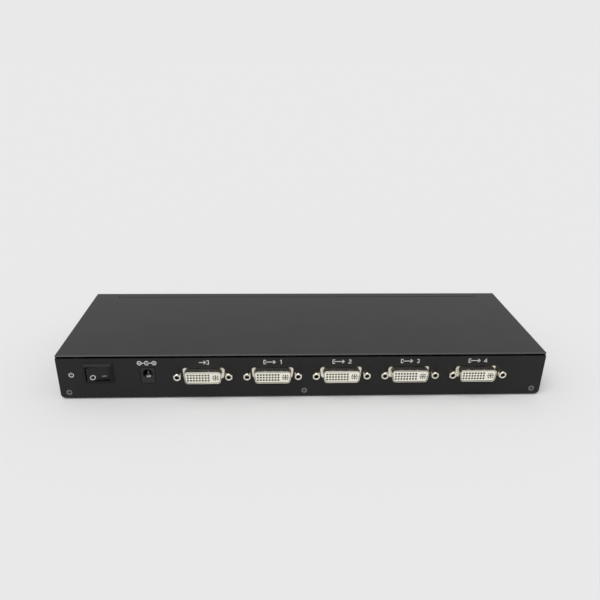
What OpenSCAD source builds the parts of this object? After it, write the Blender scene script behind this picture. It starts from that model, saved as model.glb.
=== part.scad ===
// Video splitter box: one input socket, four output sockets, a rocker power switch and a
// barrel power jack in a folded steel casing. X runs along the socket row, the sockets face -Y,
// Z is up, and the origin is under the middle of the whole object, at the soles of its feet.

/* [Casing] */
// Width of the casing
case_w = 320; // [312:1:380]
// Depth of the casing, rear face to front face
case_d = 109.4; // [100:0.1:150]
// Height of the casing without its feet
case_h = 30.8; // [29:0.1:40]
// Thickness of the sheet steel
sheet = 1.2; // [1:0.1:1.5]
// Thickness of the cover's sheet steel
cover_t = 0.9; // [0.8:0.1:1.5]
// Outside radius of the folds along the lower side edges
fold_r = 2.4; // [2:0.1:3.5]
// Dark seam between the cover and the panels' upper edges
seam = 1.3; // [0.4:0.1:1.5]
// Height of the upturned lips behind the panels
lip_h = 8; // [7:0.5:9]
// Depth of the front panel's return in the top face
return_d = 7.3; // [5:0.1:12]
// Distance from the return's ends to the casing's sides
return_inset = 18.7; // [12:0.1:30]
// Gap around the return
return_gap = 0.3; // [0.2:0.05:0.8]
// Height of the rubber feet
foot_h = 1.2; // [1:0.1:5]
// Radius of the rubber feet at the casing
foot_r = 5; // [3:0.5:7]
// Distance of the feet's centres from the casing's edges
foot_inset = 14; // [8:1:25]

/* [Vents] */
// Number of vent slots in each side
vent_count = 12; // [4:1:14]
// Distance between vent slots
vent_pitch = 4.6; // [4:0.1:5]
// Width of a vent slot
vent_w = 2; // [1.5:0.1:2.5]
// Height of a vent slot
vent_h = 12; // [6:0.5:13]
// Height of the vent slots' middle over the casing's underside
vent_z = 12; // [11:0.5:14]

/* [Screws] */
// Radius of the screw shanks
screw_r = 1.05; // [1:0.05:1.25]
// Radius of the countersunk heads
screw_head_r = 1.95; // [1.8:0.05:2.8]
// Length of the screws
screw_l = 5; // [4:0.5:8]
// Distance of the end screws from the casing's sides
screw_inset = 5.7; // [5:0.1:8]
// Height of the panel screws over the casing's underside
screw_z = 4; // [3.8:0.1:4.8]
// Drop of the cover screws below the top face
cover_screw_drop = 6.5; // [6:0.1:8]
// Distance between the two cover screws on each side
cover_screw_span = 70; // [60:1:80]
// Height of the cover brackets' legs
bracket_h = 10; // [9:0.5:12]
// Width of the cover brackets' feet
bracket_w = 8; // [5:0.5:10]

/* [Sockets] */
// Distance between neighbouring sockets
socket_pitch = 45.1; // [44:0.1:46]
// Place of the input socket along the casing
socket_x = -66.1; // [-67:0.1:-65]
// Height of the socket centres over the casing's underside
socket_z = 16.85; // [16.8:0.05:17.4]
// Width of the socket shell
shell_w = 24.3; // [24:0.1:24.6]
// Height of the socket shell
shell_h = 8.5; // [8.3:0.1:8.8]
// Corner radius of the socket shell
shell_r = 2.2; // [1.8:0.1:2.6]
// Amount that each lower corner of the socket is drawn in
shell_slant = 0.6; // [0.4:0.1:0.8]
// Thickness of the shell's metal
shell_t = 0.35; // [0.25:0.05:0.4]
// Reach of the shell past the rear panel
shell_reach = 5.6; // [4.5:0.1:7]
// Bare flange that shows through the panel at each end of a socket
flange_show = 1.65; // [1:0.05:2.1]
// Width of the shell's flange behind the panel
flange_w = 39.4; // [39.2:0.1:41]
// Half height of the shell's flange
flange_half = 6.2; // [5.8:0.1:6.2]
// Width of the insulator's tongue
tongue_w = 22.9; // [22.7:0.1:23.1]
// Height of the insulator's tongue
tongue_h = 7; // [6.8:0.1:7.2]
// Depth of the tongue's face behind the shell's rim
tongue_drop = 0.2; // [0.1:0.1:1.5]
// Pitch of the contacts
contact_pitch = 1.905; // [1.85:0.005:1.95]
// Width of a contact hole
contact_hole = 1.2; // [1.1:0.05:1.4]
// Width of the four holes around the cross
quad_hole = 0.9; // [0.85:0.05:1.1]
// Thickness of a contact's leg
contact_t = 0.55; // [0.4:0.05:0.6]
// Distance between the two jack posts of a socket
post_span = 33.3; // [33:0.1:33.5]
// Width of a hexagonal jack post across its flats
post_af = 4.6; // [4.4:0.1:5.2]
// Reach of the jack posts past the rear panel
post_l = 5; // [4:0.1:6]
// Radius of the jack posts' threaded hole
post_bore_r = 1.4; // [1.2:0.05:1.45]
// Depth of the jack posts' threaded hole
post_bore_l = 4; // [3:0.5:4]

/* [Power jack] */
// Place of the power jack along the casing
jack_x = -102.2; // [-104:0.1:-100]
// Width of the power jack
jack_w = 9; // [8.6:0.1:9.6]
// Height of the power jack
jack_h = 11; // [10.6:0.1:11.6]
// Depth of the power jack
jack_d = 14.5; // [13:0.5:16]
// Height of the plug bore's axis over the board
jack_axis = 6.9; // [6.6:0.1:7.1]
// Radius of the plug bore
jack_bore_r = 3.15; // [3:0.05:3.2]
// Depth of the plug bore
jack_bore_l = 9.5; // [9:0.5:11]
// Radius of the centre pin
jack_pin_r = 1.05; // [0.95:0.05:1.25]

/* [Switch] */
// Place of the switch along the casing
switch_x = -134; // [-135:0.1:-132]
// Height of the switch's middle over the casing's underside
switch_z = 18; // [17.6:0.1:19]
// Width of the switch's bezel
bezel_w = 20; // [19.4:0.1:22]
// Height of the switch's bezel
bezel_h = 14.4; // [14:0.1:16]
// Thickness of the switch's bezel
bezel_t = 1.7; // [1.4:0.1:2.4]
// Width of the switch's body behind the panel
switch_body_w = 18.4; // [18:0.1:18.8]
// Height of the switch's body behind the panel
switch_body_h = 12.8; // [12.6:0.1:13.2]
// Depth of the switch's body behind its pivot
switch_body_d = 12.5; // [12:0.1:14]
// Radius of the rocker's curved ends about its pivot
rocker_r = 7.4; // [7.2:0.05:7.5]
// Height of the rocker along its pivot
rocker_h = 9.8; // [9.4:0.1:10]
// Tilt of the rocker to either side
rocker_tilt = 14; // [8:0.5:15]
// Rise of each half of the rocker's face
rocker_rise = 8; // [4:0.5:9]
// Tilt of the contact lever to either side
lever_tilt = 8; // [4:0.5:8]

/* [Board] */
// Height of the board's upper face over the casing's underside
board_top = 10.6; // [10.4:0.1:10.6]
// Thickness of the board
board_t = 1.6; // [1.2:0.1:2]
// Distance of the board's left end from the power jack
board_overhang = 11.8; // [10:0.1:13]
// Distance of the board's right end from the casing's side
board_inset = 10; // [8:0.5:16]
// Radius of the board's standoffs
standoff_r = 3; // [2.6:0.1:3.5]
// Distance between neighbouring status lights
led_pitch = 14; // [10:0.5:20]
// Radius of a status light
led_r = 1.5; // [1.2:0.1:2]
// Reach of the status lights past the front panel
led_reach = 0.8; // [0.3:0.1:1.5]

/* [Hidden] */
$fn = 48;
fit = 0.1;                               // clearance of fixed fits
play = 0.2;                              // clearance around moving pieces
cutout = 0.3;                            // clearance of a panel cut-out
socket_count = 5;                        // one input and four outputs
usual_w = 320;                           // casing width that the places along the row are given for
spread = case_w / usual_w;               // stretches the row with the casing
switch_at = spread * switch_x;
jack_at = spread * jack_x;
function socket_at(i) = spread * (socket_x + i * socket_pitch);

// Levels and faces of the casing
under_z = foot_h;
top_z = under_z + case_h;
lid_z = top_z - cover_t;
panel_h = case_h - cover_t - seam;
rocker_valley = 1.3;                     // middle of the rocker's face over its pivot
// Angle of the upper corner, where the rocker's face meets its curved end
rocker_corner = asin(rocker_valley / rocker_r * cos(rocker_rise)) + rocker_rise;
rocker_reach = rocker_r * sin(rocker_corner + rocker_tilt);
pivot_depth = 1;                         // rocker's pivot behind the rear face
rear_reach = max(shell_reach, post_l, rocker_reach - pivot_depth, bezel_t);
rear_y = (rear_reach - led_reach - case_d) / 2;
front_y = rear_y + case_d;
pivot_y = rear_y + pivot_depth;
middle_y = (rear_y + front_y) / 2;
inner_rear_y = rear_y + sheet;
inner_front_y = front_y - sheet;
screw_xs = [-case_w / 2 + screw_inset, 0, case_w / 2 - screw_inset];

// Levels inside, measured from a socket's centre with z outward from the rear face
board_z = under_z + board_top;
seat_y = board_top - socket_z;           // the board's face below a socket's centre
corner_steps = 6;                        // short stretches in each corner of a socket
flange_t = 0.5;                          // metal of the socket's flange
body_front = -sheet - flange_t;          // front of the moulded body
body_back = body_front - 12;             // back of the moulded body
body_top = 5.6;                          // top of the moulded body over the socket's centre
body_w = 38.8;                           // width of the moulded body
tongue_face = shell_reach - tongue_drop;
grid_x = -2.95;                          // middle of the eight by three contacts
cross_x = 8.25;                          // middle of the cross-shaped contact
quad = [1.3, 1.25];                      // the four contacts around it
leg_gap = 1;                             // first row of legs behind the body
leg_drop = 0.8;                          // length of the legs under the board
cross_w = 4.8;                           // width of the cross-shaped slot
cross_h = 4.2;                           // height of the cross-shaped slot
cross_t = 0.55;                          // width of its arms
contact_recess = 0.9;                    // contacts sit this far inside the tongue
cup_l = 3;                               // square cup at the front of a contact
cup_share = 0.62;                        // opening of a cup as a share of its width
post_stud_r = 1.4;                       // stud that clamps the socket to the panel
post_stud_l = 5;                         // length of that stud behind the panel's face
drill_r = 0.5;                           // plated holes in the board
slot_start = -1.2;                       // front of the slot for the power jack's leaf
leaf_w = 3.2;                            // width of that leaf
pin_drop = 1.7;                          // tip of the power jack's pin behind the rear face
pin_shank = 1.3;                         // radius of the pin's stem in the jack's floor

// Inside the switch, measured from its pivot
rocker_floor = -1.4;                     // underside of the rocker's crown
opening_half = rocker_r + play + 0.05;   // half width of the bezel's opening
opening_h = rocker_h + 2 * play;         // height of the bezel's opening
trunnion_r = 0.9;                        // rocker's pivot pins
trunnion_play = 0.05;                    // radial clearance of the pivot pins
trunnion_l = 0.7;                        // reach of the pivot pins past the rocker
stem_w = 5;                              // square stem under the rocker
stem_floor = -4.8;                       // lower end of the stem
plunger_r = 1.2;                         // sprung plunger in the stem
plunger_tip = -6;                        // tip of the plunger below the pivot
spring_r = 1.05;                         // middle radius of the plunger's spring
spring_wire = 0.3;                       // wire of that spring
spring_turns = 5;                        // turns of that spring
spring_top = -0.1;                       // upper end of the stem's bore
spring_floor = -3.6;                     // where the spring meets the plunger
lever_z = -7.1;                          // pivot of the contact lever
lever_l = 12;                            // length of the contact lever
lever_w = 3.4;                           // width of the contact lever
lever_t = 0.5;                           // thickness of the contact lever
lever_pin_r = 0.8;                       // rounded pivot of the lever
lever_under = lever_pin_r - lever_t;     // underside of the lever over its pivot
pad_r = 1;                               // silver contact pads
pad_t = 0.4;                             // thickness of a contact pad
pad_x = 4.9;                             // contact pads from the lever's middle
floor_t = 1.5;                           // floor of the switch's body
blade_w = 4.75;                          // width of the terminals
blade_t = 0.8;                           // thickness of the terminals
blade_end = -21;                         // rear end of the terminals
snap_l = 4;                              // length of the snap wedges on the switch
snap_reach = 0.8;                        // reach of the snap wedges

// The board and what stands on it
board_rear = rear_y + sheet + flange_t + fit;
board_front = inner_front_y - 4;
board_left = jack_at - board_overhang;
board_right = case_w / 2 - board_inset;
board_depth = board_front - board_rear;
rear_row = 28;                           // rear board screws behind the rear face
front_row = 14;                          // front board screws inside the front face
end_column = 6;                          // end board screws inside the board's ends
board_rows = [rear_y + rear_row, front_y - front_row];
board_columns = [board_left + end_column, (board_left + board_right) / 2, board_right - end_column];
board_screw_r = 1.4;                     // shank of the board screws
board_screw_l = 6;                       // length of the board screws
board_head_r = 2.7;                      // head of the board screws
board_head_t = 1.8;                      // height of the board screws' heads
chip_y = rear_y + case_d * 0.58;         // row of the main chip
chip_w = 14;                             // main chip
chip_t = 1.6;                            // height of the chips
sink_w = 22;                             // heat sink on the main chip
sink_h = 8;                              // height of the heat sink
sink_fins = 7;                           // fins of the heat sink
buffer_w = 10;                           // buffer chip behind each output
buffer_y = rear_y + case_d * 0.345;      // row of the buffer chips
led_z = board_z + 4;                     // height of the status lights
led_back = inner_front_y - 5;            // back of the status lights
led_count = socket_count;                // one for power and one for each output

// Leads from the switch to the board, through points chosen by hand
lead_r = 0.9;                            // outside radius of a lead
lead_sides = 8;                          // sides of a lead's rings
lead_pin = 1.3;                          // half the distance between the header's pins
lead_straight = 5;                       // straight stretch behind the terminals
lead_bend = 10;                          // length of a lead's bends
lead_steps = 4;                          // rings for each stretch between two points
sleeve_l = 9;                            // insulating sleeves on the terminals
sleeve_wall = 0.9;                       // wall of those sleeves
header_size = [7, 7.6, 6];               // white connector on the board
header_inset = 9;                        // white connector inside the board's left end
header_at = [board_left + header_inset, rear_y + case_d * 0.4];
// A place right of the white connector, and a share of the depth behind the rear face
function from_header(x, share) = [header_at[0] + spread * x, rear_y + case_d * share];
lead_height = board_z + header_size[2] / 2;

// A convex outline with round corners, from its corner centres in anticlockwise order
function unit(v) = v / norm(v);
function outward(v) = [v[1], -v[0]];
function tangents(c, r) = [
    for (i = [0:len(c) - 1])
        let (before = c[(i + len(c) - 1) % len(c)], after = c[(i + 1) % len(c)])
            each [c[i] + r * outward(unit(c[i] - before)), c[i] + r * outward(unit(after - c[i]))]
];
module rounded(centres, r) {
    polygon(tangents(centres, r));
    for (c = centres) translate(c) circle(r);
}
// The same outline as short straight stretches, for thin metal
function facing(v) = atan2(v[1], v[0]) - 90;
function stepped(c, r, steps) = [
    for (i = [0:len(c) - 1])
        let (start = facing(c[i] - c[(i + len(c) - 1) % len(c)]),
             sweep = (facing(c[(i + 1) % len(c)] - c[i]) - start + 360) % 360)
            each [for (k = [0:steps])
                let (turn = start + sweep * k / steps) c[i] + r * [cos(turn), sin(turn)]]
];
function box_centres(w, h, r) = [
    [-w / 2 + r, -h / 2 + r], [w / 2 - r, -h / 2 + r], [w / 2 - r, h / 2 - r], [-w / 2 + r, h / 2 - r]
];
function socket_centres(w, h, r) = [
    [-w / 2 + shell_slant + r, -h / 2 + r], [w / 2 - shell_slant - r, -h / 2 + r],
    [w / 2 - r, h / 2 - r], [-w / 2 + r, h / 2 - r]
];

// Places a piece on the rear face: x along it, y up, z outward
module on_rear(x, z) {
    translate([x, rear_y, under_z + z]) rotate([90, 0, 0]) children();
}
// The same on the front face, seen from inside the casing
module on_front(x, z) {
    translate([x, front_y, under_z + z]) rotate([-90, 0, 0]) children();
}
module at_socket(i) {
    on_rear(socket_at(i), socket_z) children();
}
module at_switch() {
    on_rear(switch_at, switch_z) translate([0, 0, -pivot_depth]) children();
}
// A shape drawn across x and z of the switch and spread evenly along its pivot
module along_pivot(h) {
    rotate([90, 0, 0]) translate([0, 0, -h / 2]) linear_extrude(h) children();
}

// Fasteners
module countersunk_cut() {
    translate([0, 0, -screw_head_r + screw_r])
        cylinder(h = screw_head_r - screw_r, r1 = screw_r + cutout, r2 = screw_head_r + cutout);
    translate([0, 0, -sheet - fit]) cylinder(h = sheet + fit, r = screw_r + fit);
}
module cross_recess(span, depth) {
    for (turn = [0, 90])
        rotate(turn) translate([-span / 2, -span / 8, -depth]) cube([span, span / 4, depth + fit]);
}
module countersunk_screw() {
    head_t = screw_head_r - screw_r;
    difference() {
        union() {
            translate([0, 0, -head_t]) cylinder(h = head_t, r1 = screw_r, r2 = screw_head_r);
            translate([0, 0, -screw_l]) cylinder(h = screw_l - head_t, r = screw_r);
        }
        cross_recess(screw_head_r * 1.4, head_t * 0.45);
        translate([0, 0, -1.5 * head_t]) cylinder(h = 1.5 * head_t + fit, r1 = screw_r / 3, r2 = head_t);
    }
}
module tapped_hole(length) {
    translate([0, 0, -length]) cylinder(h = length + fit, r = screw_r + fit / 2);
}

// Casing
module panel_outline(h) {
    difference() {
        translate([0, h / 2]) rounded(box_centres(case_w, h, fold_r), fold_r);
        translate([-case_w / 2 - fit, h - fold_r]) square([case_w + 2 * fit, fold_r + fit]);
    }
    translate([-case_w / 2, h - fold_r]) square([case_w, fold_r]);
}
module tray_section() {
    inner_r = fold_r - sheet;
    difference() {
        panel_outline(case_h - cover_t);
        translate([0, sheet + case_h / 2])
            rounded(box_centres(case_w - 2 * sheet, case_h, inner_r), inner_r);
    }
}
module vents() {
    first_y = middle_y - (vent_count - 1) * vent_pitch / 2;
    for (side = [-1, 1], i = [0:vent_count - 1])
        translate([side * (case_w - sheet) / 2, first_y + i * vent_pitch, under_z + vent_z])
            rotate([90, 0, 90]) translate([0, 0, -sheet])
                linear_extrude(2 * sheet)
                    rounded([[0, -(vent_h - vent_w) / 2], [0, (vent_h - vent_w) / 2]], vent_w / 2);
}
module at_cover_screws() {
    for (side = [-1, 1], y = [-1, 1])
        translate([side * case_w / 2, middle_y + y * cover_screw_span / 2, top_z - cover_screw_drop])
            rotate([0, side * 90, 0]) children();
}
module lip(face_y, inward) {
    length = case_w - 2 * sheet - 2;
    translate([-length / 2, min(face_y, face_y + inward * sheet), under_z])
        cube([length, sheet, lip_h]);
}
module base_tray() {
    color("#242425") difference() {
        union() {
            translate([0, inner_front_y, under_z]) rotate([90, 0, 0])
                linear_extrude(inner_front_y - inner_rear_y) tray_section();
            lip(inner_rear_y, 1);
            lip(inner_front_y, -1);
        }
        vents();
        at_cover_screws() countersunk_cut();
        for (x = screw_xs) {
            on_rear(x, screw_z) tapped_hole(screw_l);
            on_front(x, screw_z) tapped_hole(screw_l);
        }
    }
}
module top_cover() {
    notch_w = case_w - 2 * return_inset + 2 * return_gap;
    notch_d = return_d + return_gap;
    color("#3c3c3e") difference() {
        translate([-case_w / 2, rear_y, lid_z]) cube([case_w, case_d, cover_t]);
        translate([-notch_w / 2, front_y - notch_d, lid_z - fit])
            cube([notch_w, notch_d + fit, cover_t + 2 * fit]);
    }
}
// Angle strips welded under the cover, tapped for the screws in the tray's sides
module cover_brackets() {
    overhang = 8;
    length = cover_screw_span + 2 * overhang;
    color("silver") difference() {
        for (side = [-1, 1]) {
            outer = case_w / 2 - sheet - fit;
            low = lid_z - bracket_h;
            translate([side * outer - (side > 0 ? sheet : 0), middle_y - length / 2, low])
                cube([sheet, length, bracket_h]);
            translate([side * outer - (side > 0 ? bracket_w : 0), middle_y - length / 2, lid_z - sheet])
                cube([bracket_w, length, sheet]);
        }
        at_cover_screws() tapped_hole(screw_l);
    }
}
module socket_cut() {
    centres = socket_centres(shell_w + 2 * flange_show, shell_h + 2 * cutout, shell_r);
    translate([0, 0, -sheet - fit]) linear_extrude(sheet + 2 * fit)
        polygon(stepped(centres, shell_r, corner_steps));
    for (side = [-1, 1])
        translate([side * post_span / 2, 0, -sheet - fit])
            cylinder(h = sheet + 2 * fit, r = post_stud_r + cutout);
}
module rear_panel() {
    color("#262627") difference() {
        on_rear(0, 0) translate([0, 0, -sheet]) linear_extrude(sheet) panel_outline(panel_h);
        for (i = [0:socket_count - 1]) at_socket(i) socket_cut();
        for (x = screw_xs) on_rear(x, screw_z) countersunk_cut();
        on_rear(switch_at, switch_z)
            translate([-switch_body_w / 2 - fit, -switch_body_h / 2 - fit, -sheet - fit])
                cube([switch_body_w + 2 * fit, switch_body_h + 2 * fit, sheet + 2 * fit]);
        on_rear(jack_at, board_top) translate([-jack_w / 2 - cutout, -cutout, -sheet - fit])
            cube([jack_w + 2 * cutout, jack_h + 2 * cutout, sheet + 2 * fit]);
    }
}
module front_panel() {
    bend_r = 0.5;
    foot = panel_h - case_h - fit;
    return_w = case_w - 2 * return_inset;
    color("#262627") difference() {
        union() {
            on_front(0, 0) mirror([0, 1, 0]) translate([0, 0, -sheet])
                linear_extrude(sheet) panel_outline(panel_h);
            translate([-return_w / 2, front_y, top_z]) rotate([90, 0, 90]) linear_extrude(return_w) {
                polygon(concat(
                    [[-return_d, -sheet], [-return_d, 0]],
                    [for (k = [0:corner_steps])
                        let (turn = 90 - 90 * k / corner_steps) bend_r * [cos(turn) - 1, sin(turn) - 1]],
                    [[0, foot], [-sheet, foot], [-sheet, -sheet]]
                ));
            }
        }
        for (x = screw_xs) on_front(x, screw_z) countersunk_cut();
        at_leds() translate([0, 0, -sheet - fit]) cylinder(h = sheet + 2 * fit, r = led_r + fit);
    }
}
module rear_panel_screws() {
    color("#38383a") for (x = screw_xs) on_rear(x, screw_z) countersunk_screw();
}
module front_panel_screws() {
    color("#38383a") for (x = screw_xs) on_front(x, screw_z) countersunk_screw();
}
module cover_screws() {
    color("#38383a") at_cover_screws() countersunk_screw();
}
module rubber_feet() {
    taper = 0.4;
    color("#1b1b1b") for (x = [-1, 1], y = [rear_y + foot_inset, front_y - foot_inset])
        translate([x * (case_w / 2 - foot_inset), y, 0])
            cylinder(h = foot_h, r1 = foot_r - taper, r2 = foot_r);
}

// Sockets
function leg_z(row) = body_back - leg_gap - row * contact_pitch;
// Every contact as its place on the face and the row of its leg
CONTACTS = concat(
    [for (row = [0:2], i = [0:7]) [grid_x + (i - 3.5) * contact_pitch, (row - 1) * contact_pitch, row]],
    [for (x = [-1, 1], y = [-1, 1]) [cross_x + x * quad[0], y * quad[1], y + 1]],
    [[cross_x, 0, 1]]
);
quad_start = 24;                         // the four contacts around the cross follow the grid
quad_end = len(CONTACTS) - 2;            // the last contact is the cross
function hole_w(n) = n < quad_start ? contact_hole : quad_hole;
module dvi_shell(i) {
    centres = socket_centres(shell_w, shell_h, shell_r);
    color("#c9c5b6") at_socket(i) difference() {
        union() {
            translate([0, 0, body_front]) linear_extrude(shell_reach - body_front)
                polygon(stepped(centres, shell_r, corner_steps));
            translate([-flange_w / 2, -flange_half, body_front])
                cube([flange_w, flange_half + body_top, flange_t]);
        }
        translate([0, 0, body_front - fit]) linear_extrude(shell_reach - body_front + 2 * fit)
            polygon(stepped(centres, shell_r - shell_t, corner_steps));
        for (side = [-1, 1])
            translate([side * post_span / 2, 0, body_front - fit])
                cylinder(h = flange_t + 2 * fit, r = post_stud_r + cutout);
    }
}
module dvi_insulator(i) {
    tongue_r = 1.5;
    length = tongue_face - body_back;
    color("#efe9d6") at_socket(i) difference() {
        union() {
            translate([0, 0, body_front]) linear_extrude(tongue_face - body_front)
                rounded(socket_centres(tongue_w, tongue_h, tongue_r), tongue_r);
            translate([-body_w / 2, seat_y, body_back])
                cube([body_w, body_top - seat_y, body_front - body_back]);
        }
        for (n = [0:quad_end])
            translate([CONTACTS[n][0] - hole_w(n) / 2, CONTACTS[n][1] - hole_w(n) / 2, body_back - fit])
                cube([hole_w(n), hole_w(n), length + 2 * fit]);
        for (arm = [[cross_w, cross_t], [cross_t, cross_h]])
            translate([cross_x - arm[0] / 2, -arm[1] / 2, body_back - fit])
                cube([arm[0], arm[1], length + 2 * fit]);
        for (side = [-1, 1])
            translate([side * post_span / 2, 0, body_front - post_stud_l])
                cylinder(h = post_stud_l + fit, r = post_stud_r + cutout);
    }
}
module contact(n, front) {
    place = CONTACTS[n];
    half = contact_t / 2;
    leg = leg_z(place[2]);
    foot = seat_y - board_t - leg_drop;
    cup_w = hole_w(n) - 2 * fit;
    cup_floor = front - cup_l;
    pit_w = cup_w * cup_share;
    translate([place[0] - half, 0, 0]) rotate([90, 0, 90]) linear_extrude(contact_t) polygon([
        [place[1] - half, cup_floor], [place[1] + half, cup_floor], [place[1] + half, leg - half],
        [foot, leg - half], [foot, leg + half], [place[1] - half, leg + half]
    ]);
    translate([place[0], place[1], cup_floor]) difference() {
        translate([-cup_w / 2, -cup_w / 2, 0]) cube([cup_w, cup_w, cup_l]);
        translate([-pit_w / 2, -pit_w / 2, contact_t]) cube([pit_w, pit_w, cup_l]);
    }
}
module dvi_contacts(i) {
    front = tongue_face - contact_recess;
    blade = cross_t - 2 * fit;
    color("#c8a24a") at_socket(i) {
        for (n = [0:quad_end]) contact(n, front);
        for (arm = [[cross_w - 2 * fit, blade], [blade, cross_h - 2 * fit]])
            translate([cross_x - arm[0] / 2, -arm[1] / 2, body_back])
                cube([arm[0], arm[1], front - body_back]);
        translate([cross_x - blade / 2, -blade / 2, leg_z(1)])
            cube([blade, blade, body_back - leg_z(1)]);
        translate([cross_x - blade / 2, seat_y - board_t - leg_drop, leg_z(1) - blade / 2])
            cube([blade, board_t + leg_drop - seat_y + blade / 2, blade]);
    }
}
module at_posts() {
    for (side = [-1, 1]) translate([side * post_span / 2, 0, 0]) children();
}
module dvi_posts(i) {
    lead_in = 0.12;
    corner_r = post_af / sqrt(3);
    crown_r = post_af / 2 - 0.15;
    color("#d5d0bf") at_socket(i) at_posts() difference() {
        union() {
            intersection() {
                rotate(30) cylinder(h = post_l, r = corner_r, $fn = 6);
                cylinder(h = post_l, r1 = post_l + crown_r, r2 = crown_r);
            }
            translate([0, 0, -post_stud_l]) cylinder(h = post_stud_l + fit, r = post_stud_r);
        }
        translate([0, 0, post_l - post_bore_l]) cylinder(h = post_bore_l + fit, r = post_bore_r);
        translate([0, 0, post_l - lead_in])
            cylinder(h = lead_in + fit, r1 = post_bore_r, r2 = post_bore_r + lead_in + fit);
    }
}

// Power jack
module at_jack() {
    on_rear(jack_at, board_top + jack_axis) children();
}
module dc_jack_body() {
    slot_w = leaf_w + 2 * cutout;
    color("#1d1d1e") at_jack() difference() {
        translate([-jack_w / 2, -jack_axis, -jack_d]) cube([jack_w, jack_h, jack_d]);
        translate([0, 0, -jack_bore_l]) cylinder(h = jack_bore_l + fit, r = jack_bore_r);
        translate([0, 0, -jack_d - fit]) cylinder(h = jack_d, r = pin_shank + fit / 2);
        translate([-slot_w / 2, -jack_axis - fit, -jack_bore_l])
            cube([slot_w, jack_axis, slot_start + jack_bore_l]);
    }
}
module dc_jack_pin() {
    taper = jack_pin_r / 2;
    shoulder = -pin_drop - taper;
    color("#d8d4c6") at_jack() {
        translate([0, 0, -jack_d - 1]) cylinder(h = jack_d + 1 - jack_bore_l, r = pin_shank);
        translate([0, 0, -jack_bore_l]) cylinder(h = shoulder + jack_bore_l, r = jack_pin_r);
        translate([0, 0, shoulder]) cylinder(h = taper, r1 = jack_pin_r, r2 = jack_pin_r - taper);
    }
}
// Leaf that presses on the plug from below
module dc_jack_spring() {
    leaf_t = 0.35;
    heel = -jack_axis;
    back = -jack_bore_l + play;
    tip = slot_start - play;
    low = -jack_bore_r - leaf_t;
    crest = -jack_bore_r + 2 * leaf_t;
    middle = (back + 4 * tip) / 5;
    color("#cfcabb") at_jack()
        translate([-leaf_w / 2, 0, 0]) rotate([90, 0, 90]) linear_extrude(leaf_w)
        polygon([
            [heel, back], [low + leaf_t, back], [crest, middle], [low, tip],
            [low - leaf_t, tip], [crest - leaf_t, middle], [low, back + leaf_t], [heel, back + leaf_t]
        ]);
}

// Rocker switch
// Four slopes that rise from the bezel's outline to its opening
module bezel() {
    wall = 0.3;
    lip = 0.3;
    function slope(size, half) = [
        [-size / 2, wall], [size / 2, wall], [half + lip, bezel_t], [-half - lip, bezel_t]
    ];
    translate([-bezel_w / 2, -bezel_h / 2, 0]) cube([bezel_w, bezel_h, wall]);
    intersection() {
        along_pivot(bezel_h) polygon(slope(bezel_w, opening_half));
        rotate(90) along_pivot(bezel_w) polygon(slope(bezel_h, opening_h / 2));
    }
}
module switch_body() {
    floor_z = -switch_body_d;
    snap_z = pivot_depth - sheet - fit;
    socket_l = opening_h + 2 * (trunnion_l + fit);
    color("#1f1f20") at_switch() difference() {
        union() {
            translate([0, 0, pivot_depth]) bezel();
            translate([-switch_body_w / 2, -switch_body_h / 2, floor_z])
                cube([switch_body_w, switch_body_h, switch_body_d + pivot_depth]);
            for (side = [0, 180]) rotate(side) translate([switch_body_w / 2, 0, 0]) along_pivot(snap_l)
                polygon([[0, snap_z], [snap_reach, snap_z], [0, snap_z - snap_l]]);
        }
        translate([-opening_half, -opening_h / 2, floor_z + floor_t])
            cube([2 * opening_half, opening_h, switch_body_d + pivot_depth + bezel_t]);
        rotate([90, 0, 0])
            cylinder(h = socket_l, r = trunnion_r + trunnion_play, center = true);
        for (x = [0, -pad_x]) translate([x - blade_t / 2 - fit, -blade_w / 2 - fit, floor_z - fit])
            cube([blade_t + 2 * fit, blade_w + 2 * fit, floor_t + 2 * fit]);
    }
}
module rocker_face() {
    edge = rocker_r + 1;
    polygon([[0, rocker_valley], [-edge, rocker_valley + edge * tan(rocker_rise)], [-edge, rocker_floor],
             [edge, rocker_floor], [edge, rocker_valley + edge * tan(rocker_rise)]]);
}
module tilted(angle) {
    rotate([0, -angle, 0]) children();
}
module switch_rocker() {
    color("#232324") at_switch() tilted(-rocker_tilt) difference() {
        union() {
            along_pivot(rocker_h) intersection() {
                circle(rocker_r);
                rocker_face();
            }
            rotate([90, 0, 0]) cylinder(h = rocker_h + 2 * trunnion_l, r = trunnion_r, center = true);
            translate([-stem_w / 2, -stem_w / 2, stem_floor])
                cube([stem_w, stem_w, rocker_floor - stem_floor]);
        }
        translate([0, 0, stem_floor - fit])
            cylinder(h = spring_top - stem_floor + fit, r = plunger_r + fit);
    }
}
module rocker_plunger() {
    color("#dcd9cf") at_switch() tilted(-rocker_tilt) {
        translate([0, 0, plunger_tip + plunger_r]) sphere(plunger_r);
        translate([0, 0, plunger_tip + plunger_r])
            cylinder(h = spring_floor - plunger_tip - plunger_r, r = plunger_r);
    }
}
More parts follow.
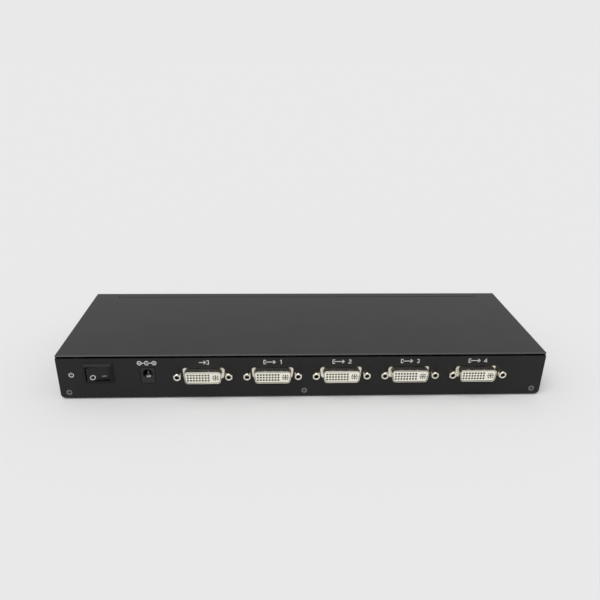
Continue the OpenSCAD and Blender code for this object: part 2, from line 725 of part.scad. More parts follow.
// A round wire along a list of points, as one closed surface
function frame_side(t) = unit(cross(t, abs(t[2]) < 0.8 * norm(t) ? [0, 0, 1] : [1, 0, 0]));
function heading(p, i) = unit(p[min(i + 1, len(p) - 1)] - p[max(i - 1, 0)]);
module wire(points, r, sides) {
    last = len(points) - 1;
    rings = [
        for (i = [0:last])
            let (t = heading(points, i), a = frame_side(t), b = cross(a, t))
                each [for (s = [0:sides - 1])
                    let (turn = 360 * s / sides) points[i] + r * (a * cos(turn) + b * sin(turn))]
    ];
    polyhedron(
        points = rings,
        faces = concat(
            [[for (s = [0:sides - 1]) s]],
            [for (i = [0:last - 1], s = [0:sides - 1])
                let (n = (s + 1) % sides, p = i * sides)
                    each [[p + s, p + sides + s, p + n], [p + n, p + sides + s, p + sides + n]]],
            [[for (s = [sides - 1:-1:0]) last * sides + s]]
        )
    );
}
module rocker_spring() {
    steps = 8;
    low = spring_floor + (spring_wire + fit) / 2;
    rise = spring_top - (spring_wire + fit) / 2 - low;
    last = spring_turns * steps;
    color("silver") at_switch() tilted(-rocker_tilt) wire([
        for (i = [0:last])
            [spring_r * cos(360 * i / steps), spring_r * sin(360 * i / steps), low + rise * i / last]
    ], spring_wire / 2, 6);
}
module contact_lever() {
    color("#c98f55") at_switch() translate([0, 0, lever_z]) tilted(lever_tilt) {
        translate([-lever_l / 2, -lever_w / 2, lever_under]) cube([lever_l, lever_w, lever_t]);
        rotate([90, 0, 0]) cylinder(h = lever_w, r = lever_pin_r, center = true);
        translate([-pad_x, 0, lever_under - pad_t]) cylinder(h = pad_t + fit, r = pad_r);
    }
}
module switch_terminals() {
    cradle_top = lever_z + lever_under - 2 * cutout;
    pad_top = lever_z + lever_under - pad_t - (pad_x + pad_r) * sin(lever_tilt) - cutout;
    color("#d9d6cc") at_switch() {
        difference() {
            translate([-blade_t, -blade_w / 2, blade_end])
                cube([2 * blade_t, blade_w, cradle_top - blade_end]);
            for (side = [-1, 1]) translate([side * blade_t * 1.5 - blade_t, -blade_w, blade_end - fit])
                cube([2 * blade_t, 2 * blade_w, -switch_body_d + floor_t + 2 * fit - blade_end]);
            translate([0, 0, lever_z]) rotate([90, 0, 0])
                cylinder(h = 2 * blade_w, r = lever_pin_r + trunnion_play, center = true);
        }
        translate([-pad_x - blade_t / 2, -blade_w / 2, blade_end])
            cube([blade_t, blade_w, pad_top - blade_end]);
    }
}
module terminal_sleeves() {
    outer = [blade_t + 2 * sleeve_wall, blade_w + 2 * sleeve_wall];
    color("#b03028") at_switch() for (x = [0, -pad_x]) difference() {
        translate([x - outer[0] / 2, -outer[1] / 2, blade_end - 2])
            cube([outer[0], outer[1], sleeve_l]);
        translate([x - blade_t / 2 - fit, -blade_w / 2 - fit, blade_end])
            cube([blade_t + 2 * fit, blade_w + 2 * fit, sleeve_l]);
        translate([x, 0, blade_end - 2 - fit]) cylinder(h = 2 + 2 * fit, r = lead_r + fit);
    }
}
// Smooth points through a hand-chosen route
function between(p, i, t) =
    let (a = p[max(i - 1, 0)], b = p[i], c = p[i + 1], d = p[min(i + 2, len(p) - 1)])
        b + (c - a) * t / 2
            + (2 * a - 5 * b + 4 * c - d) * t * t / 2
            + (3 * b - a - 3 * c + d) * t * t * t / 2;
function smooth(p) = concat(
    [for (i = [0:len(p) - 2], k = [0:lead_steps - 1]) between(p, i, k / lead_steps)], [p[len(p) - 1]]
);
function lead_route(x, side) =
    let (level = under_z + switch_z,
         y = header_at[1] + side * lead_pin,
         end_x = header_at[0] - header_size[0] / 2)
        [
            [x, pivot_y - blade_end + play, level],
            [x, pivot_y - blade_end + lead_straight, level],
            [x + 1, header_at[1] - lead_bend, level - 0.5],
            [x + lead_bend / 2, header_at[1] + 2.2 * side * lead_pin, lead_height + 3],
            [end_x - lead_bend, y, lead_height],
            [end_x - lead_bend / 2, y, lead_height],
            [end_x - play, y, lead_height]
        ];
module switch_leads() {
    color("#a01818") wire(smooth(lead_route(switch_at, -1)), lead_r, lead_sides);
    color("#1a1a1a") wire(smooth(lead_route(switch_at - pad_x, 1)), lead_r, lead_sides);
}

// Board
module on_board(place) {
    translate([place[0], place[1], board_z]) children();
}
module at_standoffs() {
    for (x = board_columns, y = board_rows) translate([x, y, 0]) children();
}
function led_at(i) = spread * (i - (led_count - 1) / 2) * led_pitch;
module at_leds() {
    for (i = [0:led_count - 1])
        translate([led_at(i), front_y, led_z])
            rotate([-90, 0, 0]) children();
}
module main_board() {
    color("#1f6b3a") difference() {
        translate([board_left, board_rear, board_z - board_t])
            cube([board_right - board_left, board_depth, board_t]);
        for (i = [0:socket_count - 1], c = CONTACTS)
            translate([socket_at(i) + c[0], rear_y - leg_z(c[2]), board_z - board_t - fit])
                cylinder(h = board_t + 2 * fit, r = drill_r);
        at_standoffs() translate([0, 0, board_z - board_t - fit])
            cylinder(h = board_t + 2 * fit, r = board_screw_r + fit);
    }
}
module board_standoffs() {
    seat = under_z + sheet;
    color("silver") difference() {
        at_standoffs() translate([0, 0, seat]) cylinder(h = board_z - board_t - seat, r = standoff_r);
        at_standoffs() translate([0, 0, board_z - board_t - board_screw_l])
            cylinder(h = board_screw_l + fit, r = board_screw_r + fit / 2);
    }
}
module board_screws() {
    color("silver") at_standoffs() translate([0, 0, board_z]) difference() {
        union() {
            cylinder(h = board_head_t, r = board_head_r);
            translate([0, 0, board_t / 2 - board_screw_l])
                cylinder(h = board_screw_l - board_t / 2, r = board_screw_r);
        }
        translate([0, 0, board_head_t]) cross_recess(board_head_r, board_head_t * 0.6);
    }
}
module lead_header() {
    color("#eeeadf") on_board(header_at)
        translate([-header_size[0] / 2, -header_size[1] / 2, 0]) cube(header_size);
}
chip_at = [socket_at(2) + spread * 14, chip_y];
module splitter_chip() {
    color("#202022") on_board(chip_at) translate([-chip_w / 2, -chip_w / 2, 0])
        cube([chip_w, chip_w, chip_t]);
}
module heat_sink() {
    base_t = 2;
    step = sink_w / (sink_fins - 0.5);
    color("#b9bcc0") on_board(chip_at) translate([-sink_w / 2, -sink_w / 2, chip_t]) {
        cube([sink_w, sink_w, base_t]);
        for (i = [0:sink_fins - 1]) translate([i * step, 0, base_t - fit])
            cube([step / 2, sink_w, sink_h - base_t + fit]);
    }
}
module buffer_chips() {
    color("#202022") for (i = [1:socket_count - 1]) on_board([socket_at(i), buffer_y])
        translate([-buffer_w / 2, -buffer_w / 2, 0]) cube([buffer_w, buffer_w, chip_t]);
}
module regulators() {
    size = [6.5, 3.5, 1.7];
    first = 14;
    step = 10;
    color("#202022") for (i = [0:1]) on_board(from_header(first + i * step, 0.4)) cube(size);
}
module smoothing_capacitors() {
    can_r = 3.15;
    can_h = 7.7;
    first = 12;
    step = 9;
    color("#8d9298") for (i = [0:3]) on_board(from_header(first + i * step, 0.56))
        cylinder(h = can_h, r = can_r);
}
module power_choke() {
    choke_w = 10;
    choke_h = 4.5;
    bore_r = 3;
    right = 54;
    color("#4a4a4c") on_board(from_header(right, 0.55)) difference() {
        translate([-choke_w / 2, -choke_w / 2, 0]) cube([choke_w, choke_w, choke_h]);
        translate([0, 0, choke_h - 1]) cylinder(h = 1 + fit, r = bore_r);
    }
}
module clock_crystal() {
    can_h = 3.6;
    can_r = 2.3;
    half_l = 3.5;
    right = 22;
    color("#c4c6c8") on_board(chip_at + [spread * right, 0])
        linear_extrude(can_h) rounded([[-half_l, 0], [half_l, 0]], can_r);
}
module chip_resistors() {
    size = [1.6, 0.8, 0.5];
    per_output = 4;
    step = 3;
    color("#3a332c") for (i = [1:socket_count - 1], k = [0:per_output - 1])
        on_board([socket_at(i) + (k - per_output / 2) * step, buffer_y + buffer_w / 2 + step]) cube(size);
}
module status_leds() {
    color("#3fbf5a") at_leds() {
        translate([0, 0, led_reach - led_r]) sphere(led_r);
        translate([0, 0, led_back - front_y])
            cylinder(h = front_y - led_back + led_reach - led_r, r = led_r);
    }
}
module led_spacers() {
    width = 4.4;
    depth = 5;
    color("#1d1d1e") for (i = [0:led_count - 1])
        on_board([led_at(i) - width / 2, led_back - depth])
            cube([width, depth, led_z - board_z + led_r]);
}

base_tray();
top_cover();
cover_brackets();
rear_panel();
front_panel();
rear_panel_screws();
front_panel_screws();
cover_screws();
rubber_feet();
main_board();
board_standoffs();
board_screws();
dvi_shell(0);  // dvi_shell_in
dvi_shell(1);  // dvi_shell_out_1
dvi_shell(2);  // dvi_shell_out_2
dvi_shell(3);  // dvi_shell_out_3
dvi_shell(4);  // dvi_shell_out_4
dvi_insulator(0);  // dvi_insulator_in
dvi_insulator(1);  // dvi_insulator_out_1
dvi_insulator(2);  // dvi_insulator_out_2
dvi_insulator(3);  // dvi_insulator_out_3
dvi_insulator(4);  // dvi_insulator_out_4
dvi_contacts(0);  // dvi_contacts_in
dvi_contacts(1);  // dvi_contacts_out_1
dvi_contacts(2);  // dvi_contacts_out_2
dvi_contacts(3);  // dvi_contacts_out_3
dvi_contacts(4);  // dvi_contacts_out_4
dvi_posts(0);  // dvi_posts_in
dvi_posts(1);  // dvi_posts_out_1
dvi_posts(2);  // dvi_posts_out_2
dvi_posts(3);  // dvi_posts_out_3
dvi_posts(4);  // dvi_posts_out_4
dc_jack_body();
dc_jack_pin();
dc_jack_spring();
switch_body();
switch_rocker();
rocker_plunger();
rocker_spring();
contact_lever();
switch_terminals();
terminal_sleeves();
switch_leads();
lead_header();
splitter_chip();
heat_sink();
buffer_chips();
regulators();
smoothing_capacitors();
power_choke();
clock_crystal();
chip_resistors();
status_leds();
led_spacers();
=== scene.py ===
import math

import bmesh
import bpy
from mathutils import Matrix, Vector


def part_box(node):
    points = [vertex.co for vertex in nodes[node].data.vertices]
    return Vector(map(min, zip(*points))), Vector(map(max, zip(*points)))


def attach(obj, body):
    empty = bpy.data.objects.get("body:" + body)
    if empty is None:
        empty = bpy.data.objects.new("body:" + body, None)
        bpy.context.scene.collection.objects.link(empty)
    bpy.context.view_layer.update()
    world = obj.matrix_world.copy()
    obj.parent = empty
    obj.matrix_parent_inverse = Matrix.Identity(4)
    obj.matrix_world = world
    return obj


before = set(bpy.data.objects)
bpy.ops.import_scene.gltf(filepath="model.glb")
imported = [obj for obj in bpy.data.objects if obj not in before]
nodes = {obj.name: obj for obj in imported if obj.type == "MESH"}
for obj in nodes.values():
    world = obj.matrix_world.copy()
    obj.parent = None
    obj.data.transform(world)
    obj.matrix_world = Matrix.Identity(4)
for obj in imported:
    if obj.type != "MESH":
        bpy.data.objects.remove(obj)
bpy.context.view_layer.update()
scene = bpy.context.scene
mm = 0.001
print("frame loaded:", len(nodes), "nodes")

# the rear panel carries everything the picture shows, so places are measured from it
panelLow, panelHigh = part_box("rear_panel")
rearFace = panelLow.y
panelFoot = panelLow.z
socketNames = ["in", "out_1", "out_2", "out_3", "out_4"]


def nodeCentre(name):
    low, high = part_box(name)
    return (low + high) / 2


# camera
cameraSetup = {
    "place": (-0.02115, -0.35056, 0.20837),  # metres from the foot of the rear panel's middle
    "pitchDown": 26.02,
    "turnRight": 2.908,
    "roll": 0.937,
    "lens": 36.42,
    "sensor": 36.0,
    "shiftUp": 0.0763,
    "nearClip": 0.01,
    "farClip": 60,
}


def addCamera(setup):
    data = bpy.data.cameras.new("productCamera")
    data.sensor_width = setup["sensor"]
    data.lens = setup["lens"]
    data.shift_y = setup["shiftUp"]
    data.clip_start = setup["nearClip"]
    data.clip_end = setup["farClip"]
    camera = bpy.data.objects.new("productCamera", data)
    scene.collection.objects.link(camera)
    spot = Vector((0, rearFace, panelFoot)) + Vector(setup["place"])
    turn = Matrix.Rotation(math.radians(-setup["turnRight"]), 4, "Z")
    tilt = Matrix.Rotation(math.radians(90 - setup["pitchDown"]), 4, "X")
    roll = Matrix.Rotation(math.radians(setup["roll"]), 4, "Z")
    camera.matrix_world = Matrix.Translation(spot) @ turn @ tilt @ roll
    scene.camera = camera


addCamera(cameraSetup)
print("camera placed")

# light and floor
studio = {
    "backdrop": (0.815, 0.815, 0.815),
    "skyLight": 0.5,
    "sunLight": 1.5,
    "sunSpread": 50,
    "sunTilt": (28, -14, 0),
    "floorColor": (0.9, 0.9, 0.9),
    "floorSize": 24.0,
}


def addWorld(setup):
    world = bpy.data.worlds.new("studioSky")
    scene.world = world
    world.use_nodes = True
    tree = world.node_tree
    tree.nodes.clear()
    out = tree.nodes.new("ShaderNodeOutputWorld")
    mix = tree.nodes.new("ShaderNodeMixShader")
    sky = tree.nodes.new("ShaderNodeBackground")
    seen = tree.nodes.new("ShaderNodeBackground")
    path = tree.nodes.new("ShaderNodeLightPath")
    sky.inputs["Color"].default_value = (1, 1, 1, 1)
    sky.inputs["Strength"].default_value = setup["skyLight"]
    seen.inputs["Color"].default_value = (*setup["backdrop"], 1)
    # camera, glossy and transmission rays all see the pale backdrop
    glossy = tree.nodes.new("ShaderNodeMath")
    glossy.operation = "MAXIMUM"
    clear = tree.nodes.new("ShaderNodeMath")
    clear.operation = "MAXIMUM"
    tree.links.new(path.outputs["Is Camera Ray"], glossy.inputs[0])
    tree.links.new(path.outputs["Is Glossy Ray"], glossy.inputs[1])
    tree.links.new(glossy.outputs[0], clear.inputs[0])
    tree.links.new(path.outputs["Is Transmission Ray"], clear.inputs[1])
    tree.links.new(clear.outputs[0], mix.inputs["Fac"])
    tree.links.new(sky.outputs[0], mix.inputs[1])
    tree.links.new(seen.outputs[0], mix.inputs[2])
    tree.links.new(mix.outputs[0], out.inputs["Surface"])


def addSun(setup):
    lamp = bpy.data.lights.new("softSun", "SUN")
    lamp.energy = setup["sunLight"]
    lamp.angle = math.radians(setup["sunSpread"])
    sun = bpy.data.objects.new("softSun", lamp)
    sun.rotation_euler = [math.radians(a) for a in setup["sunTilt"]]
    scene.collection.objects.link(sun)


def addFloor(setup):
    half = setup["floorSize"] / 2
    mesh = bpy.data.meshes.new("paleFloor")
    corners = [(-half, -half, 0), (half, -half, 0), (half, half, 0), (-half, half, 0)]
    mesh.from_pydata(corners, [], [(0, 1, 2, 3)])
    floor = bpy.data.objects.new("paleFloor", mesh)
    scene.collection.objects.link(floor)
    paint = bpy.data.materials.new("paleFloorPaint")
    paint.use_nodes = True
    shader = paint.node_tree.nodes["Principled BSDF"]
    shader.inputs["Base Color"].default_value = (*setup["floorColor"], 1)
    shader.inputs["Roughness"].default_value = 1.0
    shader.inputs["Specular IOR Level"].default_value = 0.0
    mesh.materials.append(paint)


scene.view_settings.view_transform = "Standard"
addWorld(studio)
addSun(studio)
addFloor(studio)
print("studio lit")


# a stretch of the depth, from the rear inward, painted in another colour: painted shade in the contact
# holes, a painted highlight on the cover's rear edge
def addPaintedLightBand(tree, place, paint, band):
    start, end = band["depth"]
    split = tree.nodes.new("ShaderNodeSeparateXYZ")
    tree.links.new(place.outputs["Object"], split.inputs["Vector"])
    inside = []
    for operation, edge in (("GREATER_THAN", start), ("LESS_THAN", end)):
        test = tree.nodes.new("ShaderNodeMath")
        test.operation = operation
        test.inputs[1].default_value = edge
        tree.links.new(split.outputs["Y"], test.inputs[0])
        inside.append(test.outputs[0])
    both = tree.nodes.new("ShaderNodeMath")
    both.operation = "MULTIPLY"
    tree.links.new(inside[0], both.inputs[0])
    tree.links.new(inside[1], both.inputs[1])
    blend = tree.nodes.new("ShaderNodeMixRGB")
    blend.inputs["Color2"].default_value = (*band["color"], 1)
    tree.links.new(both.outputs[0], blend.inputs["Fac"])
    tree.links.new(paint, blend.inputs["Color1"])
    return blend.outputs["Color"]


# finishes: every one has a grain that varies colour and roughness a little, and the surface too where it has
# a bump
plainLook = {"metal": 0.0, "ior": 1.45, "stretch": (1, 1, 1), "shade": 0.12, "bump": 0}
grainSetup = {
    "detail": 4.0,
    "cloudScale": 40.0,
    "cloudEdges": (0.3, 0.7),
    "roughSpread": 0.05,
    "roughLeast": 0.02,
    "bumpDepth": 0.05,  # millimetres
}


def makeFinish(name, ownLook, setup):
    look = {**plainLook, **ownLook}
    mat = bpy.data.materials.new(name)
    mat.use_nodes = True
    tree = mat.node_tree
    shader = tree.nodes["Principled BSDF"]
    shader.inputs["Metallic"].default_value = look["metal"]
    shader.inputs["IOR"].default_value = look["ior"]
    place = tree.nodes.new("ShaderNodeTexCoord")
    stretch = tree.nodes.new("ShaderNodeMapping")
    stretch.inputs["Scale"].default_value = look["stretch"]
    tree.links.new(place.outputs["Object"], stretch.inputs["Vector"])
    grain = tree.nodes.new("ShaderNodeTexNoise")
    grain.inputs["Scale"].default_value = look["grainScale"]
    grain.inputs["Detail"].default_value = setup["detail"]
    tree.links.new(stretch.outputs["Vector"], grain.inputs["Vector"])
    cloud = tree.nodes.new("ShaderNodeTexNoise")
    cloud.inputs["Scale"].default_value = setup["cloudScale"]
    tree.links.new(stretch.outputs["Vector"], cloud.inputs["Vector"])
    tint = tree.nodes.new("ShaderNodeValToRGB")
    stops = tint.color_ramp.elements
    for stop, factor in zip(stops, (1 - look["shade"], 1 + look["shade"])):
        stop.color = (*[min(1.0, c * factor) for c in look["color"]], 1)
    stops[0].position, stops[1].position = setup["cloudEdges"]
    tree.links.new(cloud.outputs["Fac"], tint.inputs["Fac"])
    paint = tint.outputs["Color"]
    if "band" in look:
        paint = addPaintedLightBand(tree, place, paint, look["band"])
    tree.links.new(paint, shader.inputs["Base Color"])
    rough = tree.nodes.new("ShaderNodeMapRange")
    rough.inputs["To Min"].default_value = max(setup["roughLeast"], look["rough"] - setup["roughSpread"])
    rough.inputs["To Max"].default_value = min(1.0, look["rough"] + setup["roughSpread"])
    tree.links.new(grain.outputs["Fac"], rough.inputs["Value"])
    tree.links.new(rough.outputs["Result"], shader.inputs["Roughness"])
    if look["bump"] > 0:
        bump = tree.nodes.new("ShaderNodeBump")
        bump.inputs["Strength"].default_value = look["bump"]
        bump.inputs["Distance"].default_value = setup["bumpDepth"] * mm
        tree.links.new(grain.outputs["Fac"], bump.inputs["Height"])
        tree.links.new(bump.outputs["Normal"], shader.inputs["Normal"])
    return mat


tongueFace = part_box("dvi_insulator_in")[0].y
# painted shade darkens the ivory from just behind the tongue's face back to the panel, inside the contact
# holes, and a painted highlight lightens the cover's rear edge
holeShade = {"depth": (tongueFace + 0.03 * mm, rearFace), "color": (0.012, 0.011, 0.009)}
edgeHighlight = {"depth": (rearFace - 1 * mm, rearFace + 0.55 * mm), "color": (0.075, 0.075, 0.077)}
finishLooks = {
    # one black powder coat in two copies: painted darker for the shaded rear panel, painted lighter for the
    # lit top cover, which also carries the painted edge highlight
    "panelPowderShaded": {"color": (0.008, 0.008, 0.0085), "rough": 0.5, "ior": 1.36,
                    "grainScale": 2600, "bump": 0.35},
    "coverPowderLit": {"color": (0.014, 0.014, 0.0145), "rough": 0.5, "ior": 1.4,
                    "grainScale": 2600, "bump": 0.35, "band": edgeHighlight},
    "zincPlate": {"color": (0.62, 0.62, 0.63), "rough": 0.32, "metal": 1.0,
                  "grainScale": 900, "shade": 0.06},
    "blackZinc": {"color": (0.19, 0.19, 0.194), "rough": 0.36, "metal": 1.0,
                  "grainScale": 1800, "shade": 0.2},
    # the thread liners are painted near black, as painted shade inside the post bores
    "threadSteelPaintedShade": {"color": (0.035, 0.033, 0.03), "rough": 0.5, "metal": 1.0,
                    "grainScale": 1800, "shade": 0.2},
    "footRubber": {"color": (0.016, 0.016, 0.016), "rough": 0.75, "grainScale": 1500, "bump": 0.4},
    "solderMask": {"color": (0.012, 0.085, 0.035), "rough": 0.35, "grainScale": 700, "shade": 0.2},
    "shellNickel": {"color": (0.84, 0.81, 0.71), "rough": 0.24, "metal": 1.0,
                    "grainScale": 1200, "shade": 0.08},
    "postNickel": {"color": (0.78, 0.74, 0.64), "rough": 0.22, "metal": 1.0,
                   "grainScale": 1200, "shade": 0.08},
    # ivory, with the painted shade of the contact holes
    "ivoryMoulding": {"color": (0.9, 0.87, 0.75), "rough": 0.42,
                      "grainScale": 900, "shade": 0.03, "bump": 0.1, "band": holeShade},
    # the contacts are painted near black, as painted shade deep in the contact holes
    "contactBronzePaintedShade": {"color": (0.016, 0.013, 0.009), "rough": 0.42, "metal": 1.0,
                      "grainScale": 1500, "shade": 0.15},
    # the jack pin's nickel is painted dark, as painted shade inside the jack's bore
    "pinNickelPaintedShade": {"color": (0.12, 0.118, 0.11), "rough": 0.4, "metal": 1.0,
                  "grainScale": 1200, "shade": 0.1},
    # the jack spring's nickel is painted near white, as a painted highlight low in the bore
    "leafNickelPaintedHighlight": {"color": (0.93, 0.92, 0.88), "rough": 0.3, "metal": 1.0,
                   "grainScale": 1200, "shade": 0.05},
    "goldFlash": {"color": (0.78, 0.56, 0.22), "rough": 0.25, "metal": 1.0,
                  "grainScale": 1500, "shade": 0.1},
    "blackMoulding": {"color": (0.010, 0.010, 0.0105), "rough": 0.45, "grainScale": 1400, "bump": 0.25},
    # the bezel's black is painted darker than the rocker's, as painted shade on its top slope
    "bezelMouldingShaded": {"color": (0.006, 0.006, 0.0065), "rough": 0.5, "ior": 1.3,
                      "grainScale": 1600, "bump": 0.2},
    "rockerMoulding": {"color": (0.009, 0.009, 0.0095), "rough": 0.35, "ior": 1.36,
                       "grainScale": 1600, "bump": 0.12},
    "whiteMoulding": {"color": (0.78, 0.77, 0.73), "rough": 0.45, "grainScale": 900, "shade": 0.03},
    "redInsulation": {"color": (0.42, 0.025, 0.02), "rough": 0.5, "grainScale": 900},
    "chipEpoxy": {"color": (0.017, 0.017, 0.018), "rough": 0.6, "grainScale": 2400, "bump": 0.3},
    "extrudedAluminium": {"color": (0.6, 0.61, 0.63), "rough": 0.35, "metal": 1.0, "grainScale": 400,
                          "stretch": (12, 1, 12), "shade": 0.06},
    "canAluminium": {"color": (0.56, 0.57, 0.59), "rough": 0.3, "metal": 1.0, "grainScale": 900},
    "ferrite": {"color": (0.05, 0.05, 0.052), "rough": 0.7, "grainScale": 1500, "bump": 0.4},
    "resistorCeramic": {"color": (0.03, 0.028, 0.03), "rough": 0.5, "grainScale": 1500},
    "greenLens": {"color": (0.14, 0.5, 0.22), "rough": 0.18, "grainScale": 500, "shade": 0.06},
    "whitePrint": {"color": (0.68, 0.68, 0.67), "rough": 0.6, "ior": 1.4,
                   "grainScale": 3000, "shade": 0.06},
    # a dimmer grey print, used for the rocker's dash
    "dimPrint": {"color": (0.32, 0.32, 0.315), "rough": 0.6, "ior": 1.4,
                    "grainScale": 3000, "shade": 0.1},
}
finishes = {name: makeFinish(name, look, grainSetup) for name, look in finishLooks.items()}
print("finishes mixed:", len(finishes))

finishOf = {
    "panelPowderShaded": ["rear_panel", "base_tray"],
    "coverPowderLit": ["top_cover", "front_panel"],
    "zincPlate": ["cover_brackets", "board_standoffs", "board_screws", "rocker_spring", "switch_terminals",
                  "clock_crystal"],
    "blackZinc": ["rear_panel_screws", "front_panel_screws", "cover_screws"],
    "footRubber": ["rubber_feet"],
    "solderMask": ["main_board"],
    "shellNickel": ["dvi_shell_" + s for s in socketNames],
    "ivoryMoulding": ["dvi_insulator_" + s for s in socketNames],
    "contactBronzePaintedShade": ["dvi_contacts_" + s for s in socketNames],
    "goldFlash": ["contact_lever"],
    "postNickel": ["dvi_posts_" + s for s in socketNames],
    "pinNickelPaintedShade": ["dc_jack_pin"],
    "leafNickelPaintedHighlight": ["dc_jack_spring"],
    "blackMoulding": ["dc_jack_body", "led_spacers"],
    "bezelMouldingShaded": ["switch_body"],
    "rockerMoulding": ["switch_rocker"],
    "whiteMoulding": ["rocker_plunger", "lead_header"],
    "redInsulation": ["terminal_sleeves", "switch_leads"],
    "chipEpoxy": ["splitter_chip", "buffer_chips", "regulators"],
    "extrudedAluminium": ["heat_sink"],
    "canAluminium": ["smoothing_capacitors"],
    "ferrite": ["power_choke"],
    "resistorCeramic": ["chip_resistors"],
    "greenLens": ["status_leds"],
}
for finishName, members in finishOf.items():
    for nodeName in members:
        nodes[nodeName].data.materials.clear()
        nodes[nodeName].data.materials.append(finishes[finishName])
unpainted = set(nodes) - {n for members in finishOf.values() for n in members}
print("nodes painted, left over:", sorted(unpainted))

# rounded edges that catch the light, in millimetres
edgeRounding = {
    "top_cover": 0.6, "rear_panel": 0.15, "front_panel": 0.15, "switch_body": 0.2, "switch_rocker": 0.35,
    "dc_jack_body": 0.15,
}
for socket in socketNames:
    edgeRounding["dvi_shell_" + socket] = 0.08
    edgeRounding["dvi_posts_" + socket] = 0.1
edgeSetup = {
    "joinWithin": 0.002,  # millimetres
    "flatWithin": 0.5,  # degrees
    "sharperThan": 35,  # degrees
    "steps": 3,
}


def softenEdges(node, radius, setup):
    weld = node.modifiers.new("joinCorners", "WELD")
    weld.merge_threshold = setup["joinWithin"] * mm
    flat = node.modifiers.new("joinFlats", "DECIMATE")
    flat.decimate_type = "DISSOLVE"
    flat.angle_limit = math.radians(setup["flatWithin"])
    bevel = node.modifiers.new("roundEdges", "BEVEL")
    bevel.width = radius * mm
    bevel.segments = setup["steps"]
    bevel.limit_method = "ANGLE"
    bevel.angle_limit = math.radians(setup["sharperThan"])


for nodeName, radius in edgeRounding.items():
    softenEdges(nodes[nodeName], radius, edgeSetup)
print("edges rounded:", len(edgeRounding))


# new pieces are small meshes in millimetres, set in place by a matrix
def makePiece(name, points, faces, place, finish, body):
    mesh = bpy.data.meshes.new(name)
    mesh.from_pydata([[c * mm for c in p] for p in points], [], faces)
    work = bmesh.new()
    work.from_mesh(mesh)
    bmesh.ops.recalc_face_normals(work, faces=work.faces)
    work.to_mesh(mesh)
    work.free()
    mesh.materials.append(finishes[finish])
    piece = bpy.data.objects.new(name, mesh)
    scene.collection.objects.link(piece)
    piece.matrix_world = place
    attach(piece, body)
    return piece


def facingPlace(spot, normal):
    # local z leaves the surface and local y points up
    up = Vector((0, 0, 1))
    side = up.cross(normal).normalized()
    turn = Matrix((side, normal.cross(side), normal)).transposed().to_4x4()
    return Matrix.Translation(spot) @ turn


# printed marks: thin raised lines, with symbols and plain numerals where the box has words
printSetup = {
    "lineWidth": 0.5,
    "lift": 0.03,
    "sink": 0.02,
    "overSocket": 8.55,  # middle of a mark over the socket's axis
    "rightOfSocket": 0.5,
    "numeralShift": 5,  # from the arrow to its numeral
    "overJack": 7.7,
    "besideSwitch": (-17.2, -1.0),
}


def arc(x, y, radius, start, end, steps=12):
    turns = [math.radians(start + (end - start) * k / steps) for k in range(steps + 1)]
    return [(x + radius * math.cos(t), y + radius * math.sin(t)) for t in turns]


def ring(x, y, radius):
    return arc(x, y, radius, 0, 360, 24)


# every symbol is a list of lines around its own middle
numerals = {
    1: [[(-0.6, 0.75), (0.15, 1.4), (0.15, -1.5)]],
    2: [arc(0, 0.55, 0.72, 165, -35) + [(-0.9, -1.25), (0.95, -1.25)]],
    3: [arc(0, 0.62, 0.64, 150, -75), arc(0, -0.55, 0.72, 75, -150)],
    4: [[(0.45, -1.5), (0.45, 1.2), (-0.95, -0.65), (1.1, -0.65)]],
}
arrowHead = [(-0.1, 1.2), (1.3, 0), (-0.1, -1.2)]
leaving = [[(-4.8, 1.25), (-6.2, 1.25), (-6.2, -1.25), (-4.8, -1.25)], [(-5.2, 0), (1.2, 0)], arrowHead]
entering = [[(-3.1, 0), (1.2, 0)], arrowHead, [(1.7, 1.25), (3.1, 1.25), (3.1, -1.25), (1.7, -1.25)]]
polarity = [ring(-4.7, 0, 1.3), [(-5.35, 0), (-4.05, 0)], ring(4.7, 0, 1.3), [(4.05, 0), (5.35, 0)],
            [(4.7, -0.65), (4.7, 0.65)], [(-3.2, 0), (-1.35, 0)], arc(0, 0, 1.35, 40, 320),
            ring(0, 0, 0.2), [(0, 0), (3.2, 0)]]
standby = [arc(0, -0.15, 1.45, 125, 415, 20), [(0, 0.1), (0, 1.75)]]


def shifted(lines, x):
    return [[(px + x, py) for px, py in line] for line in lines]


# a flat strip along a line, closed where the line's ends meet
ribbonSetup = {"endsMeet": 0.001, "leastMitre": 0.5}


def ribbon(line, width, low, high, setup):
    closed = math.dist(line[0], line[-1]) < setup["endsMeet"]
    spots = [Vector(p) for p in (line[:-1] if closed else line)]
    last = len(spots) - 1
    points, faces = [], []
    for k, here in enumerate(spots):
        before = spots[k - 1] if closed or k > 0 else None
        after = spots[(k + 1) % len(spots)] if closed or k < last else None
        into = (here - before).normalized() if before else (after - here).normalized()
        out = (after - here).normalized() if after else into
        side = Vector((-into.y - out.y, into.x + out.x)).normalized()
        reach = width / 2 / max(setup["leastMitre"], side.dot(Vector((-into.y, into.x))))
        for level in (low, high):
            for sign in (1, -1):
                edge = here + side * reach * sign
                points.append((edge.x, edge.y, level))
    for k in range(last + 1 if closed else last):
        a, b = 4 * k, 4 * ((k + 1) % len(spots))
        faces += [(a, b, b + 1, a + 1), (a + 2, a + 3, b + 3, b + 2)]
        faces += [(a, a + 2, b + 2, b), (a + 1, b + 1, b + 3, a + 3)]
    if not closed:
        end = 4 * last
        faces += [(0, 1, 3, 2), (end, end + 2, end + 3, end + 1)]
    return points, faces


def drawMark(name, lines, place, body, setup, finish="whitePrint"):
    points, faces = [], []
    for line in lines:
        linePoints, lineFaces = ribbon(line, setup["lineWidth"], -setup["sink"], setup["lift"], ribbonSetup)
        faces += [tuple(i + len(points) for i in face) for face in lineFaces]
        points += linePoints
    makePiece(name, points, faces, place, finish, body)


def rearPlace(centre, right, up):
    return facingPlace(Vector((centre.x + right * mm, rearFace, centre.z + up * mm)), Vector((0, -1, 0)))


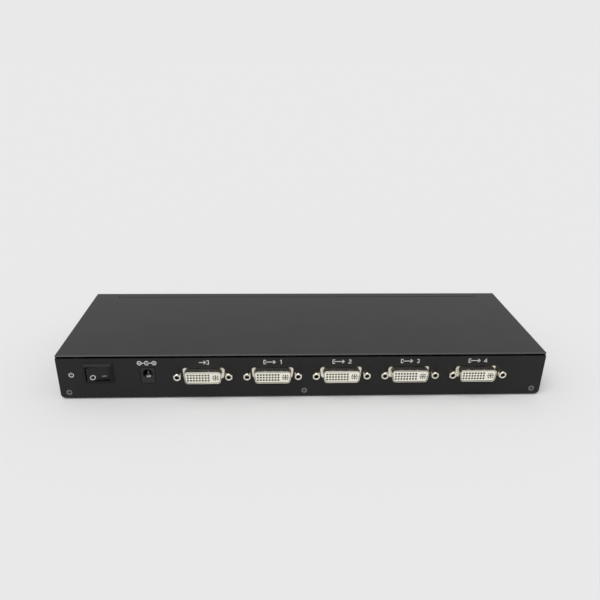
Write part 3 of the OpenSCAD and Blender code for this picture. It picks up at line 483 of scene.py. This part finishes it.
for number, socket in enumerate(socketNames):
    lines = entering if number == 0 else leaving + shifted(numerals[number], printSetup["numeralShift"])
    middle = nodeCentre("dvi_posts_" + socket)
    spot = rearPlace(middle, printSetup["rightOfSocket"], printSetup["overSocket"])
    drawMark("print_" + socket, lines, spot, "case", printSetup)
jackMiddle = nodeCentre("dc_jack_pin")
drawMark("print_power_jack", polarity, rearPlace(jackMiddle, 0, printSetup["overJack"]), "case", printSetup)
switchMiddle = nodeCentre("switch_body")
switchMark = rearPlace(switchMiddle, *printSetup["besideSwitch"])
drawMark("print_switch", standby, switchMark, "case", printSetup)

# the rocker's own marks lie on its two faces, found by a ray that starts ahead of the panel
rockerMarks = {
    "lineWidth": 0.5, "lift": 0.03, "sink": 0.02, "approach": 30,
    "print_rocker_off": {"lines": [ring(0, 0, 1.5)], "at": (-3.1, -2.2), "finish": "whitePrint"},
    "print_rocker_on": {"lines": [[(-1.5, 0), (1.5, 0)]], "at": (3.9, -2.1), "finish": "dimPrint"},
}
for name in ("print_rocker_off", "print_rocker_on"):
    mark = rockerMarks[name]
    right, up = mark["at"]
    ahead = rearFace - rockerMarks["approach"] * mm
    start = Vector((switchMiddle.x + right * mm, ahead, switchMiddle.z + up * mm))
    bpy.context.view_layer.update()
    spot, normal = nodes["switch_rocker"].ray_cast(start, Vector((0, 1, 0)))[1:3]
    drawMark(name, mark["lines"], facingPlace(spot, normal), "rocker", rockerMarks, mark["finish"])
print("marks printed on panel and rocker")

# threads inside the screw posts, in millimetres
postThread = {"major": 1.37, "minor": 1.17, "pitch": 0.64, "start": 0.3, "turns": 5, "steps": 4, "sides": 20,
              "wall": 0.01}


def threadTube(setup):
    steps, sides = setup["steps"], setup["sides"]
    span = setup["major"] - setup["minor"]
    rows = setup["turns"] * steps
    points, faces = [], []
    for i in range(rows + 1):
        radius = setup["major"] - span * (1 - abs(2 * (i % steps) / steps - 1))
        for j in range(sides):
            turn = 2 * math.pi * j / sides
            depth = setup["start"] + setup["pitch"] * (i / steps + j / sides)
            points.append((radius * math.cos(turn), radius * math.sin(turn), -depth))
    for i in range(rows - steps):
        for j in range(sides):
            near, far = i * sides + j, (i + 1) * sides + j
            nextNear = near + 1 if j + 1 < sides else (i + steps) * sides
            nextFar = far + 1 if j + 1 < sides else (i + 1 + steps) * sides
            faces.append((near, nextNear, nextFar, far))
    return points, faces


threadPoints, threadFaces = threadTube(postThread)
for socket in socketNames:
    low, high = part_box("dvi_posts_" + socket)
    half = (high.z - low.z) * math.cos(math.radians(30)) / 2  # a hexagon standing on a corner
    for side, x in (("left", low.x + half), ("right", high.x - half)):
        spot = Vector((x, low.y, (low.z + high.z) / 2))
        liner = makePiece(f"thread_{socket}_{side}", threadPoints, threadFaces,
                          facingPlace(spot, Vector((0, -1, 0))), "threadSteelPaintedShade", "case")
        wall = liner.modifiers.new("threadWall", "SOLIDIFY")
        wall.thickness = postThread["wall"] * mm
        wall.offset = 0
print("threads cut in the posts")
